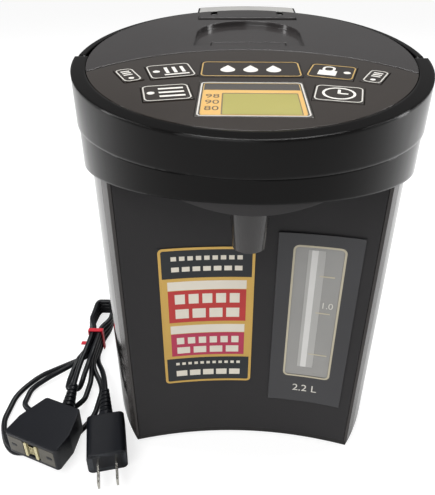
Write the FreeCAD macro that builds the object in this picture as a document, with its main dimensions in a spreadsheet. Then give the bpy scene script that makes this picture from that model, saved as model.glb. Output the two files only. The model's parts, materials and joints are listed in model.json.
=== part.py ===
import FreeCAD, Part
import math
import os
import re

# Electric thermo pot with its detached cord set, in millimetres.
# The origin is on the table under the middle of the pot; the front faces -Y and +Z is up.

os.makedirs("parts", exist_ok=True)
doc = FreeCAD.newDocument("thermo_pot")
sheet = doc.addObject("Spreadsheet::Sheet", "Sizes")

SIZES = {
    # head: oval plan, with a top face that rises towards the back
    "head_half_width": 107.5,
    "head_half_depth": 129,
    "rim_height": 254,
    "top_slope": 6.5,
    "seam_height": 236,
    "shoulder_height": 224,
    "shoulder_fall": 9,
    "shell_wall": 3,
    "cover_margin": 8.5,
    "cover_wall": 3,
    "seam_radius": 118,
    "seam_front": 133.2,
    # body under the head
    "body_inset": 5.5,
    "foot_height": 4,
    "base_wall": 4,
    "panel_inset": 31.3,
    "panel_hollow": 10.6,
    "panel_setback": 61,
    "panel_wall": 3,
    "strip_wide": 8,
    "jacket_wall": 1,
    "foot_radius": 9,
    "foot_span_wide": 110,
    "foot_span_deep": 104,
    "screw_radius": 1.6,
    "screw_span_wide": 60,
    "screw_span_deep": 96,
    # carry handle
    "handle_wall": 4,
    "handle_tall": 20,
    "handle_drop": 2,
    "grip_overhang": 14,
    "grip_half_width": 40,
    "pivot_radius": 3,
    # lid
    "lid_wall": 6,
    "lid_axis_inset": 23,
    "lid_axis_drop": 3.5,
    "hinge_pin_radius": 1.5,
    "recess_wide": 72,
    "recess_long": 68,
    "recess_deep": 3.2,
    "recess_start": 144,
    "lever_wide": 50,
    "lever_long": 16,
    "detach_wide": 74,
    "detach_long": 9,
    "detach_start": 219,
    "detach_travel": 3,
    "latch_wide": 36,
    "latch_long": 22,
    # water vessel
    "vessel_y": 38,
    "vessel_radius": 73,
    "vessel_wall": 1,
    "vacuum_gap": 5,
    "vessel_floor": 80,
    "vessel_top": 226,
    "mouth_y": 64,
    "mouth_radius": 42,
    # spout
    "spout_setback": 31,
    "spout_radius": 11.5,
    "spout_tip_radius": 8.8,
    "spout_bore": 4,
    "spout_length": 37,
    "housing_radius": 45,
    "housing_depth": 9,
    # front panel pieces
    "gauge_inset": 63.7,
    "gauge_wide": 50,
    "gauge_low": 42,
    "gauge_tall": 137,
    "window_wide": 29,
    "window_low": 67,
    "window_tall": 103,
    "plate_wall": 1.3,
    "label_x": -24.3,
    "label_wide": 60,
    "label_low": 57,
    "label_tall": 111,
    "label_wall": 0.4,
    "tube_radius": 4,
    "tube_wall": 1,
    # display and keys on the control panel
    "display_wide": 55,
    "display_long": 48,
    "display_start": 25.5,
    "key_tall": 5,
    "key_proud": 0.4,
    "key_travel": 0.8,
    "inner_key_x": 45.4,
    "inner_key_y": 91,
    "inner_key_wide": 26,
    "inner_key_long": 24,
    "inner_key_turn": 17,
    "lower_key_x": 43.7,
    "lower_key_y": 56,
    "lower_key_wide": 25,
    "lower_key_long": 23,
    "lower_key_turn": 12,
    "outer_key_x": 68,
    "outer_key_y": 83,
    "outer_key_wide": 11,
    "outer_key_long": 22,
    "outer_key_turn": 27,
    "pour_key_wide": 57,
    "pour_key_long": 27,
    "pour_key_y": 95,
    # pump and electrics in the base
    "pump_y": 12,
    "pump_radius": 22,
    "pump_low": 34,
    "pump_tall": 17,
    "motor_radius": 16,
    "case_wall": 2,
    "shaft_radius": 1.5,
    "board_wall": 1.6,
    "inlet_wide": 40,
    "inlet_tall": 28,
    "inlet_deep": 20,
    "inlet_low": 26,
    # clearances
    "panel_gap": 0.3,
    "key_gap": 0.4,
    "running_gap": 0.05,
    "lid_gap": 0.5,
}
for row, (alias, value) in enumerate(SIZES.items(), 1):
    sheet.set(f"A{row}", str(value))
    sheet.setAlias(f"A{row}", alias)

WORDS = re.compile(r"\b(" + "|".join(SIZES) + r")\b")
MIDDLE = "(-grip_overhang / 2)"
FRONT = f"({MIDDLE} - head_half_depth)"
TOP = f"placement(vector(0; {FRONT}; rim_height); rotation(vector(1; 0; 0); top_slope))"
VESSEL_Y = f"({MIDDLE} + vessel_y)"
MOUTH_Y = f"({MIDDLE} + mouth_y)"
PANEL_Y = f"({FRONT} + panel_setback)"
PANEL_X = "(head_half_width - panel_inset)"
GAUGE_X = "(head_half_width - gauge_inset)"
PANEL_RADIUS = f"(({PANEL_X} ^ 2 + panel_hollow ^ 2) / (2 * panel_hollow))"
FLOOR = "(foot_height + base_wall)"
FAR = 400

nodes = {}


def bound(text):
    return WORDS.sub(r"Sizes.\1", str(text))


def bind(item, **formulas):
    for key, formula in formulas.items():
        item.setExpression(key, bound(formula))
    return item


def spot(x="0", y="0", z="0", turn="0", about="0; 0; 1"):
    return f"placement(vector({x}; {y}; {z}); rotation(vector({about}); {turn}))"


def on_top(x="0", y="0", z="0", turn="0", about="0; 0; 1"):
    return f"{TOP} * {spot(x, y, z, turn, about)}"


def block(length, width, height, place):
    item = doc.addObject("Part::Box", "Block")
    return bind(item, Length=length, Width=width, Height=height, Placement=place)


def rod(radius, height, place):
    item = doc.addObject("Part::Cylinder", "Rod")
    return bind(item, Radius=radius, Height=height, Placement=place)


def taper(low_radius, high_radius, height, place):
    item = doc.addObject("Part::Cone", "Taper")
    return bind(item, Radius1=low_radius, Radius2=high_radius, Height=height, Placement=place)


def oval(half_x, half_y, low, height):
    """An upright prism on the head's centre line, with an elliptical plan."""
    plan = doc.addObject("Part::Ellipse", "Plan")
    turn = f"({half_y}) > ({half_x}) ? 90 : 0"
    bind(plan, MajorRadius=f"max({half_x}; {half_y})", MinorRadius=f"min({half_x}; {half_y})")
    bind(plan, Placement=spot("0", MIDDLE, low, turn))
    item = doc.addObject("Part::Extrusion", "Prism")
    item.Base = plan
    item.DirMode = "Custom"
    item.Dir = (0, 0, 1)
    item.Solid = True
    return bind(item, LengthFwd=height)


def cut(base, *tools):
    for tool in tools:
        item = doc.addObject("Part::Cut", "Cut")
        item.Base = base
        item.Tool = tool
        base = item
    return base


def common(base, *tools):
    for tool in tools:
        item = doc.addObject("Part::Common", "Common")
        item.Base = base
        item.Tool = tool
        base = item
    return base


def fuse(*shapes):
    item = doc.addObject("Part::MultiFuse", "Fuse")
    item.Shapes = list(shapes)
    return item


def group(*shapes):
    item = doc.addObject("Part::Compound", "Group")
    item.Links = list(shapes)
    return item


def node(name, item):
    item.Label = name
    nodes[name] = item
    return item


def wide_block(y, z, height, place=on_top):
    """A block wider and deeper than the pot, used to trim or keep what lies at one side of a face."""
    return block(2 * FAR, 2 * FAR, height, place(-FAR, y, z))


def above_top(drop):
    """Everything above the sloping top face, lowered by drop."""
    return wide_block(-FAR, f"-({drop})", FAR)


def below_top(drop):
    return wide_block(-FAR, f"-({drop}) - {FAR}", FAR)


def shoulder_side(drop, above):
    """Everything above or below the lower face of the head, which falls towards the back."""
    slope = f"placement(vector(0; {FRONT}; shoulder_height); rotation(vector(1; 0; 0); -shoulder_fall))"
    low = f"-({drop})" if above else f"-({drop}) - {FAR}"
    return block(2 * FAR, 2 * FAR, FAR, f"{slope} * {spot(-FAR, -FAR, low)}")


def behind(y):
    return block(2 * FAR, FAR, FAR, spot(-FAR, y, 0))


HEAD_X = "head_half_width"
HEAD_Y = "head_half_depth"
COVER_X = "(head_half_width - cover_margin)"
COVER_Y = "(head_half_depth - cover_margin - 1.5)"
BODY_X = "(head_half_width - body_inset)"
BODY_Y = "(head_half_depth - body_inset)"
HANDLE_IN_X = "(head_half_width - handle_wall)"
HANDLE_IN_Y = "(head_half_depth - handle_wall + 0.5)"
PIVOT = f"head_half_depth / cos(top_slope)"
PIVOT_DROP = "(handle_drop + handle_tall / 2)"
SHELF_DROP = "(handle_drop + handle_tall + 1)"


def head_oval(inset, low, height):
    return oval(f"{HEAD_X} - ({inset})", f"{HEAD_Y} - ({inset})", low, height)


def cover_oval(inset, low, height):
    return oval(f"{COVER_X} - ({inset})", f"{COVER_Y} - ({inset})", low, height)


def body_oval(inset, low, height):
    return oval(f"{BODY_X} - ({inset})", f"{BODY_Y} - ({inset})", low, height)


def hollow_front(offset):
    """The round space that the concave front panel faces, grown by offset into the body."""
    centre = f"{PANEL_Y} - {PANEL_RADIUS}"
    return rod(f"{PANEL_RADIUS} + ({offset})", FAR, spot("0", centre, "0"))


def make_body():
    panel_zone = block(f"2 * {PANEL_X}", FAR, FAR, spot(f"-{PANEL_X}", FRONT, FLOOR))
    panel = common(cut(hollow_front("panel_wall"), hollow_front(0)), panel_zone, shoulder_side("panel_gap", False))
    sight_slot = block("window_wide + 4", 60, "window_tall + 4",
                       spot(f"{GAUGE_X} - window_wide / 2 - 2", f"{PANEL_Y} - 40", "window_low - 2"))
    node("front_panel", cut(panel, sight_slot))

    strip_back = f"({PANEL_Y} - panel_hollow + strip_wide)"
    for side, low in (("left", f"-{FAR} - {PANEL_X} - panel_gap"), ("right", f"{PANEL_X} + panel_gap")):
        ring = cut(body_oval(0, FLOOR, FAR), body_oval("panel_wall + 1.5", "0", 2 * FAR), hollow_front(0))
        zone = block(FAR, f"{strip_back} + {FAR}", FAR, spot(low, -FAR, 0))
        node(f"{side}_corner_strip", common(ring, zone, shoulder_side("panel_gap", False)))

    shell = cut(body_oval(0, FLOOR, FAR), body_oval("jacket_wall", "0", 2 * FAR))
    shell = common(shell, behind(f"{strip_back} + panel_gap"), shoulder_side("panel_gap", False))
    inlet_hole = block("inlet_wide", "2 * inlet_deep", "inlet_tall",
                       spot("-inlet_wide / 2", f"{MIDDLE} + {BODY_Y} - inlet_deep", "inlet_low"))
    node("outer_jacket", cut(shell, inlet_hole))

    plate = cut(body_oval("0.5", "foot_height", "base_wall"), hollow_front(0))
    screws = []
    for x in (-0.5, 0.5):
        for y in (-0.5, 0.5):
            here = (f"{x} * screw_span_wide", f"{VESSEL_Y} - 12 + {y} * screw_span_deep")
            plate = cut(plate, rod("screw_radius + running_gap", FAR, spot(*here, 0)))
            shank = rod("screw_radius", "base_wall + 1", spot(*here, "foot_height - 1"))
            head = rod("2 * screw_radius", 1.5, spot(*here, "foot_height - 1.5"))
            screws.append(fuse(shank, head))
    node("bottom_cover", plate)
    node("base_screws", group(*screws))
    feet = []
    for x in (-0.5, 0.5):
        for y in (-0.5, 0.5):
            here = (f"{x} * foot_span_wide", f"{VESSEL_Y} - 12 + {y} * foot_span_deep")
            feet.append(taper("foot_radius - 1", "foot_radius", "foot_height", spot(*here, 0)))
    node("rubber_feet", group(*feet))


def make_head():
    low_ring = common(head_oval("1", 0, "seam_height"), shoulder_side(0, True))
    hollow = common(head_oval("1 + shell_wall", 0, FAR), shoulder_side("-shell_wall", True))
    low_ring = cut(low_ring, hollow, cut(body_oval("4", 0, FAR), hollow_front("6")))
    nozzle_hole = rod("spout_radius + 0.3", FAR, spot("0", f"{FRONT} + spout_setback", 0))
    node("shoulder_ring", cut(low_ring, nozzle_hole))

    ring = cut(head_oval(0, "seam_height + panel_gap", FAR), head_oval("shell_wall", 0, 2 * FAR))
    ledge = cut(head_oval(0, 0, FAR), cover_oval("-lid_gap", 0, FAR), above_top(0), below_top("shell_wall"))
    seat = cut(head_oval("1", 0, FAR), cover_oval("3", 0, FAR), above_top("cover_wall"))
    seat = common(cut(seat, below_top("cover_wall + 2")), seam_disc(0))
    shell = cut(fuse(ring, ledge, seat), above_top(0))
    handle_room = wide_block(f"{PIVOT} - handle_tall / 2 - 0.8", f"-{SHELF_DROP}", FAR, on_top)
    rear = cut(handle_room, cover_oval("2", 0, FAR))
    shell = cut(shell, rear)
    wall = common(cut(head_oval("handle_wall + 1.2", 0, FAR), cover_oval("1.7", 0, FAR)), handle_room,
                  below_top("lid_wall + 2"))
    swing_room = wide_block("(2 * head_half_depth - lid_axis_inset - 8) / cos(top_slope)", "-lid_wall - 9", FAR)
    wall = cut(wall, swing_room)
    shelf = cut(head_oval(0, 0, FAR), cover_oval("14", 0, FAR), above_top(SHELF_DROP))
    shelf = common(shelf, wide_block(f"{PIVOT} - handle_tall / 2 - 0.8", f"-{SHELF_DROP} - shell_wall", FAR))
    shell = fuse(shell, wall, shelf)
    shell = cut(shell, cut(wide_block(-FAR, -FAR, 2 * FAR), head_oval(0, "seam_height + panel_gap", FAR)))
    pin_hole = rod("pivot_radius + running_gap", 2 * FAR, on_top(-FAR, PIVOT, f"-{PIVOT_DROP}", 90, "0; 1; 0"))
    node("head_band", cut(shell, pin_hole))

    pins = []
    for side, start in ((-1, f"-{HEAD_X} + 1"), (1, f"{HEAD_X} - handle_wall - 5")):
        pins.append(rod("pivot_radius", "handle_wall + 4", on_top(start, PIVOT, f"-{PIVOT_DROP}", 90, "0; 1; 0")))
    node("handle_pins", group(*pins))

    slab = cut(wide_block(-FAR, f"-handle_drop - handle_tall", "handle_tall"))
    ring = cut(head_oval(0, 0, FAR), oval(HANDLE_IN_X, HANDLE_IN_Y, 0, FAR))
    arms = common(ring, wide_block(PIVOT, "-handle_drop - handle_tall", "handle_tall"))
    ends = common(ring, rod("handle_tall / 2", 2 * FAR, on_top(-FAR, PIVOT, f"-{PIVOT_DROP}", 90, "0; 1; 0")))
    grip = cut(oval("1.2 * head_half_width", f"{HEAD_Y} + grip_overhang", 0, FAR), oval(HANDLE_IN_X, HANDLE_IN_Y, 0, FAR))
    grip_zone = block("2 * grip_half_width", FAR, "handle_tall",
                      on_top("-grip_half_width", PIVOT, "-handle_drop - handle_tall"))
    grip = common(grip, grip_zone)
    node("carry_handle", cut(fuse(arms, ends, grip), pin_hole))


def seam_disc(grow):
    """The round region in front of the seam between the lid and the control panel."""
    return rod(f"seam_radius + ({grow})", FAR, spot("0", f"{FRONT} + seam_front - seam_radius", 0))


def top_plate(inset, drop, wall):
    return cut(cover_oval(inset, 0, FAR), above_top(drop), below_top(f"{drop} + {wall}"))


def make_lid():
    axis_y = f"(2 * head_half_depth - lid_axis_inset) / cos(top_slope)"
    cover = cut(top_plate(0, 0, "lid_wall"), seam_disc("lid_gap + 0.6"))
    recess = block("recess_wide", "recess_long", FAR, on_top("-recess_wide / 2", "recess_start", "-recess_deep"))
    recess_end = rod("recess_wide / 2", FAR, on_top("0", "recess_start + recess_long - recess_wide / 2", "-recess_deep"))
    tail = block("recess_wide", "recess_wide / 2", FAR,
                 on_top("-recess_wide / 2", "recess_start + recess_long - recess_wide / 2", "-recess_deep"))
    recess = cut(recess, cut(tail, recess_end))
    lever_y = "(recess_start + 4)"
    lever_room = block("lever_wide + 2 * lid_gap", "lever_long + 2 * lid_gap", 2 * FAR,
                       on_top("-lever_wide / 2 - lid_gap", f"{lever_y} - lid_gap", -FAR))
    slide_room = block("detach_wide + 1", "detach_long + detach_travel + 1", FAR,
                       on_top("-detach_wide / 2 - 0.5", "detach_start - 0.5 - detach_travel", -2))
    pin_room = rod("hinge_pin_radius + running_gap", 2 * FAR, on_top(-FAR, axis_y, "-lid_axis_drop", 90, "0; 1; 0"))
    cover = cut(cover, recess, lever_room, slide_room, pin_room)
    ears = []
    for side in (-1, 1):
        slot = block(5, FAR, 2 * FAR, on_top(f"{side * 26} - 2.5", f"{axis_y} - 8", -FAR))
        cover = cut(cover, slot)
        ear = block(4, 6, f"{SHELF_DROP} - 1.2", on_top(f"{side * 26} - 2", f"{axis_y} - 3", f"-{SHELF_DROP} + 0.1"))
        ears.append(cut(ear, pin_room))
    node("lid_cover", cover)
    node("hinge_ears", group(*ears))
    node("lid_hinge_pin", rod("hinge_pin_radius", 59, on_top("-29.5", axis_y, "-lid_axis_drop", 90, "0; 1; 0")))

    node("lid_lever", block("lever_wide", "lever_long", "lid_wall - 3.5",
                            on_top("-lever_wide / 2", lever_y, "-lid_wall + 0.2")))
    base = cut(top_plate(14, "lid_wall + panel_gap", 9), seam_disc(4))
    latch_y = f"({lever_y} - 3)"
    channel = block("latch_wide + 1", "latch_long + 5", FAR,
                    on_top("-latch_wide / 2 - 0.5", f"{latch_y} - 0.5", "-lid_wall - 6"))
    node("latch_slide", block("latch_wide", "latch_long", 5, on_top("-latch_wide / 2", latch_y, "-lid_wall - 5.8")))
    node("lid_detach_bar", block("detach_wide", "detach_long", 2.6, on_top("-detach_wide / 2", "detach_start", -1.8)))

    plug_low = "(vessel_top + 6)"
    core = cut(rod("mouth_radius - 6", FAR, spot("0", MOUTH_Y, plug_low)), above_top("lid_wall + 9 + panel_gap"))
    node("lid_base", fuse(cut(base, channel), core))
    node("inner_lid", rod("mouth_radius + 1", 3.5, spot("0", MOUTH_Y, f"{plug_low} - 3.8")))
    seal = cut(rod("mouth_radius + 4", 4, spot("0", MOUTH_Y, f"{plug_low} - 4.2")),
               rod("mouth_radius + 1.2", FAR, spot("0", MOUTH_Y, 0)))
    node("lid_seal", seal)


def make_vessel():
    inner = cut(rod("vessel_radius + vessel_wall", "vessel_top - vessel_floor + vessel_wall",
                    spot("0", VESSEL_Y, "vessel_floor - vessel_wall")),
                rod("vessel_radius", FAR, spot("0", VESSEL_Y, "vessel_floor")))
    rim = cut(rod("vessel_radius + 2 * vessel_wall + vacuum_gap", 1.5, spot("0", VESSEL_Y, "vessel_top")),
              rod("mouth_radius", FAR, spot("0", MOUTH_Y, 0)))
    node("inner_vessel", fuse(inner, rim))
    low = "(vessel_floor - 2 * vessel_wall - vacuum_gap)"
    outside = "(vessel_radius + 2 * vessel_wall + vacuum_gap)"
    outer = cut(rod(outside, f"vessel_top - {low}", spot("0", VESSEL_Y, low)),
                rod(f"{outside} - vessel_wall", FAR, spot("0", VESSEL_Y, f"{low} + vessel_wall")))
    node("vacuum_jacket", outer)
    heater = rod("vessel_radius - 12", 3.5, spot("0", VESSEL_Y, f"{low} - 3.6"))
    node("heater_plate", fuse(heater, rod(6, 6, spot("18", VESSEL_Y, f"{low} - 9.6"))))
    legs = []
    for x in (-1, 1):
        for y in (-1, 1):
            here = (f"{x} * 48", f"{VESSEL_Y} + {y} * 48")
            legs.append(rod(6, f"{low} - {FLOOR}", spot(*here, FLOOR)))
    tube_y = f"({PANEL_Y} + panel_wall + tube_radius)"
    legs.append(block(16, 12, f"gauge_low - {FLOOR} - panel_gap", spot(f"{GAUGE_X} - 8", f"{tube_y} - 6", FLOOR)))
    inlet_y = f"({MIDDLE} + {BODY_Y} - 1.5 - inlet_deep + 5)"
    legs.append(block(20, 8, f"inlet_low - {FLOOR}", spot(-10, inlet_y, FLOOR)))
    node("base_posts", group(*legs))
    frame = cut(head_oval("shell_wall + 1.5", "seam_height - 7.7", 3),
                rod("mouth_radius + 8", FAR, spot("0", MOUTH_Y, 0)))
    node("mouth_frame", cut(frame, block(2 * FAR, "panel_setback + 20", FAR, spot(-FAR, FRONT, 0))))


def make_front():
    nozzle_y = f"({FRONT} + spout_setback)"
    top = "(seam_height - 13.5)"
    housing = taper("spout_radius + 4", "housing_radius", "housing_depth + 3",
                    spot("0", nozzle_y, "shoulder_height - housing_depth - 3"))
    housing = fuse(housing, rod("housing_radius", FAR, spot("0", nozzle_y, "shoulder_height")))
    housing = common(cut(housing, shoulder_side("panel_gap", True)), hollow_front("-panel_gap"), head_oval("3", 0, FAR))
    housing = cut(housing, rod("spout_radius + 0.3", FAR, spot("0", nozzle_y, 0)))
    node("spout_housing", housing)
    nozzle = fuse(taper("spout_tip_radius", "spout_radius", "spout_length - 4", spot("0", nozzle_y, f"{top} - spout_length")),
                  rod("spout_radius", 4, spot("0", nozzle_y, f"{top} - 4")))
    node("spout_nozzle", cut(nozzle, rod("spout_bore", FAR, spot("0", nozzle_y, 0))))

    tube_y = f"({PANEL_Y} + panel_wall + tube_radius)"
    tube = cut(rod("tube_radius", f"{top} - gauge_low", spot(GAUGE_X, tube_y, "gauge_low")),
               rod("tube_radius - tube_wall", FAR, spot(GAUGE_X, tube_y, 0)))
    node("sight_tube", tube)
    duct_low = f"({top} + panel_gap)"
    duct = fuse(block(f"{GAUGE_X} + 12", 10, 9, spot("-6", f"{tube_y} - 5", duct_low)),
                block(12, f"{tube_y} - {nozzle_y} + 11", 9, spot("-6", f"{nozzle_y} - 6", duct_low)))
    hollow = fuse(block(f"{GAUGE_X} + 8", 6, 5, spot("-4", f"{tube_y} - 3", f"{duct_low} + 2")),
                  block(8, f"{tube_y} - {nozzle_y} + 5", 5, spot("-4", f"{nozzle_y} - 4", f"{duct_low} + 2")),
                  rod("spout_bore", 4, spot("0", nozzle_y, f"{duct_low} - 1")),
                  rod("tube_radius - tube_wall", 4, spot(GAUGE_X, tube_y, f"{duct_low} - 1")))
    node("spout_duct", cut(duct, hollow))

    def film(low, x, wide, bottom, tall):
        ring = cut(hollow_front("-0.1"), hollow_front(f"-0.1 - ({low})"))
        return common(ring, block(wide, FAR, tall, spot(f"{x} - ({wide}) / 2", FRONT, bottom)))

    plate = film("plate_wall", GAUGE_X, "gauge_wide", "gauge_low", "gauge_tall")
    hole = block("window_wide + 0.2", FAR, "window_tall + 0.2",
                 spot(f"{GAUGE_X} - window_wide / 2 - 0.1", FRONT, "window_low - 0.1"))
    node("gauge_plate", cut(plate, hole))
    node("gauge_window", film("plate_wall - 0.4", GAUGE_X, "window_wide", "window_low", "window_tall"))
    node("front_label", film("label_wall", "label_x", "label_wide", "label_low", "label_tall"))


KEYS = {
    "boil_key": ("-inner_key_x", "inner_key_y", "inner_key_wide", "inner_key_long", "inner_key_turn"),
    "unlock_key": ("inner_key_x", "inner_key_y", "inner_key_wide", "inner_key_long", "-inner_key_turn"),
    "keep_warm_key": ("-lower_key_x", "lower_key_y", "lower_key_wide", "lower_key_long", "lower_key_turn"),
    "timer_key": ("lower_key_x", "lower_key_y", "lower_key_wide", "lower_key_long", "-lower_key_turn"),
    "clean_key": ("-outer_key_x", "outer_key_y", "outer_key_wide", "outer_key_long", "outer_key_turn"),
    "mode_key": ("outer_key_x", "outer_key_y", "outer_key_wide", "outer_key_long", "-outer_key_turn"),
    "pour_key": ("0", "pour_key_y", "pour_key_wide", "pour_key_long", "0"),
}


def key_block(x, y, wide, long, turn, grow, low, tall):
    """A block turned like a key, set on the sloping top face."""
    inside = spot(f"-({wide}) / 2 - ({grow})", f"-({long}) / 2 - ({grow})", low)
    return block(f"{wide} + 2 * ({grow})", f"{long} + 2 * ({grow})", tall, f"{on_top(x, y, 0, turn)} * {inside}")


def make_controls():
    panel = common(top_plate(0, 0, "cover_wall"), seam_disc(0))
    screen = ("0", "display_start + display_long / 2", "display_wide", "display_long", "0")
    panel = cut(panel, key_block(*screen, "panel_gap", f"-{FAR}", 2 * FAR))
    switches = []
    switch_top = "(key_tall - key_proud + key_travel + 0.2)"
    for name, place in KEYS.items():
        panel = cut(panel, key_block(*place, "key_gap", f"-{FAR}", 2 * FAR))
        node(name, key_block(*place, 0, "key_proud - key_tall", "key_tall"))
        x, y, wide, long, turn = place
        switches.append(key_block(x, y, 6, 6, turn, 0, "-13", f"13 - {switch_top}"))
    node("control_panel", panel)
    node("key_switches", group(*switches))
    board = common(top_plate(12, "13.1", "board_wall"), seam_disc(-7))
    node("control_board", common(board, wide_block("20", "-20", 20)))
    node("display_window", key_block(*screen, 0, "-1.2", 1.2))
    node("display_module", key_block(*screen, "-4", "-13", 11.5))


def make_inside():
    pump_y = f"({MIDDLE} + pump_y)"
    case_tall = f"(pump_low - {FLOOR})"
    shaft_hole = rod("shaft_radius + running_gap", "pump_low + 2 * case_wall", spot("0", pump_y, "foot_height + base_wall + 1"))
    case = cut(rod("motor_radius", f"{case_tall} - 0.1", spot("0", pump_y, FLOOR)),
               rod("motor_radius - case_wall", f"{case_tall} - 2 * case_wall - 0.1", spot("0", pump_y, f"{FLOOR} + case_wall")),
               shaft_hole)
    node("pump_motor", case)
    rotor = fuse(rod("motor_radius - case_wall - 1", f"{case_tall} - 2 * case_wall - 4", spot("0", pump_y, f"{FLOOR} + case_wall + 2")),
                 rod("shaft_radius", f"{case_tall} + case_wall - 0.7", spot("0", pump_y, f"{FLOOR} + 1.5")))
    node("pump_rotor", rotor)
    volute = cut(rod("pump_radius", "pump_tall", spot("0", pump_y, "pump_low")),
                 rod("pump_radius - case_wall", "pump_tall - 2 * case_wall", spot("0", pump_y, "pump_low + case_wall")),
                 shaft_hole, rod(3.5, FAR, spot("0", pump_y, "pump_low + pump_tall - 3")))
    node("pump_housing", volute)
    node("pump_impeller", rod("pump_radius - case_wall - 2", 7, spot("0", pump_y, "pump_low + case_wall + 0.8")))
    pipe_low = "(pump_low + pump_tall + 0.1)"
    pipe_top = "(vessel_floor - 2 * vessel_wall - vacuum_gap - 3.9)"
    node("suction_pipe", cut(rod(5, f"{pipe_top} - {pipe_low}", spot("0", pump_y, pipe_low)),
                             rod(3.5, FAR, spot("0", pump_y, 0))))
    node("power_board", block("board_wall", 70, 40, spot("-60", f"{pump_y} - 40", FLOOR)))

    inlet_back = f"({MIDDLE} + {BODY_Y} - 1.5)"
    inlet = block("inlet_wide - 0.6", "inlet_deep", "inlet_tall - 0.6",
                  spot("-inlet_wide / 2 + 0.3", f"{inlet_back} - inlet_deep + 3", "inlet_low + 0.3"))
    socket = block("inlet_wide - 8", "inlet_deep - 8", "inlet_tall - 8",
                   spot("-inlet_wide / 2 + 4", f"{inlet_back} - inlet_deep + 11.1", "inlet_low + 4"))
    node("power_inlet", cut(inlet, socket))
    pins = []
    for x in (-8, 8):
        pins.append(rod(2, "inlet_deep - 11", spot(x, f"{inlet_back} - inlet_deep + 11.1", "inlet_low + inlet_tall / 2", -90, "1; 0; 0")))
    node("inlet_pins", group(*pins))


# The cord set lies on the table beside the pot. Its hank is one tube: each turn lies over the last at the tie.
CORD_RADIUS = 2.2
LAYER = 5.4
TIE = (-133.4, 20.0)
COLUMN = 3.2
TURNS = 4
PLUG_TURN = -21.0
RELIEF_TURN = 5.0
RELIEF_GAP = 2.5
PLUG_FACE = (-149.0, -108.0)
PLUG_LOW = 6.0
PLUG_SIZE = (45.0, 38.0, 20.0)
MAINS_TURN = 14.0
MAINS_FRONT = (-95.0, -110.0)
MAINS_SIZE = (28.0, 36.0, 19.0)
RELIEF_LENGTH = 26.0
NECK_LENGTH = 7.0
# each lower loop: where it leaves the bundle, its left side, its lowest point and its right side
LOWER_LOOPS = [
    ((-163.0, -12.0, 2.4), (-187.0, -58.0, 2.4), (-157.0, -99.0, 2.4), (-116.5, -48.0, 2.4)),
    ((-157.0, -17.0, 5.4), (-177.0, -46.0, 2.4), (-154.0, -64.0, 2.4), (-127.0, -42.0, 7.0)),
    ((-141.5, -3.0, 11.5), (-147.0, -22.0, 4.0), (-140.0, -38.0, 5.5), (-131.5, -26.0, 15.2)),
]
LEAVING = [(-0.8, -0.6), (-0.7, -0.7), (-0.3, -0.95)]


def aim(turn):
    """The way that a piece points which faces -Y before it is turned about Z."""
    angle = math.radians(turn)
    return FreeCAD.Vector(math.sin(angle), -math.cos(angle), 0)


def arc_edge(start, way, end):
    chord = end - start
    along = FreeCAD.Vector(chord).normalize()
    side = way - along * way.dot(along)
    if side.Length < 1e-4:
        return Part.LineSegment(start, end).toShape()
    rise = math.tan(way.getAngle(chord) / 2) * chord.Length / 2
    middle = (start + end) * 0.5 + side.normalize() * rise
    return Part.Arc(start, middle, end).toShape()


def biarc(start, way, end, last):
    """Two tangent arcs from start to end that leave along way and arrive along last."""
    way = FreeCAD.Vector(way).normalize()
    last = FreeCAD.Vector(last).normalize()
    step = end - start
    both = way + last
    spread = 2 * (1 - way.dot(last))
    if spread < 1e-6:
        reach = step.dot(step) / (4 * step.dot(last))
    else:
        reach = (-step.dot(both) + math.sqrt(step.dot(both) ** 2 + spread * step.dot(step))) / spread
    joint = (start + end + (way - last) * reach) * 0.5
    middle_way = (end - last * reach - (start + way * reach)).normalize()
    return [arc_edge(start, way, joint), arc_edge(joint, middle_way, end)]


def magnet_outlet():
    back = FreeCAD.Vector(*PLUG_FACE, PLUG_LOW + PLUG_SIZE[2] / 2) - aim(PLUG_TURN) * (PLUG_SIZE[1] + RELIEF_GAP)
    return back - aim(RELIEF_TURN) * RELIEF_LENGTH


def mains_outlet():
    length = MAINS_SIZE[1] + NECK_LENGTH + RELIEF_LENGTH
    return FreeCAD.Vector(*MAINS_FRONT, MAINS_SIZE[2] / 2) - aim(MAINS_TURN) * length


def cord_route():
    """Points and directions from the mains plug, through the hank, to the magnet plug."""
    stops = [(mains_outlet(), aim(MAINS_TURN) * -1)]
    for turn in range(TURNS):
        z = CORD_RADIUS + 0.1 + turn * LAYER
        stops.append((FreeCAD.Vector(TIE[0] + COLUMN, TIE[1], z), FreeCAD.Vector(0, 1, 0)))
        stops.append((FreeCAD.Vector(TIE[0] + 6 + turn, TIE[1] + 30 - turn, z), FreeCAD.Vector(0, 1, 0)))
        stops.append((FreeCAD.Vector(TIE[0] - 3, TIE[1] + 54 - 2 * turn, z), FreeCAD.Vector(-1, 0, 0)))
        stops.append((FreeCAD.Vector(TIE[0] - 12 + turn, TIE[1] + 30 - turn, z), FreeCAD.Vector(0, -1, 0)))
        stops.append((FreeCAD.Vector(TIE[0] - COLUMN, TIE[1], z), FreeCAD.Vector(0, -1, 0)))
        if turn == TURNS - 1:
            continue
        leave, left, low, right = [FreeCAD.Vector(*point) for point in LOWER_LOOPS[turn]]
        stops.append((leave, FreeCAD.Vector(*LEAVING[turn], 0)))
        stops.append((left, FreeCAD.Vector(0, -1, 0)))
        stops.append((low, FreeCAD.Vector(1, 0, 0)))
        stops.append((right, FreeCAD.Vector(0, 1, 0)))
        stops.append((FreeCAD.Vector(TIE[0] + COLUMN, TIE[1] - 18, z + LAYER), FreeCAD.Vector(0, 1, 0)))
    stops.append((magnet_outlet(), aim(RELIEF_TURN)))
    return stops


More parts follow.
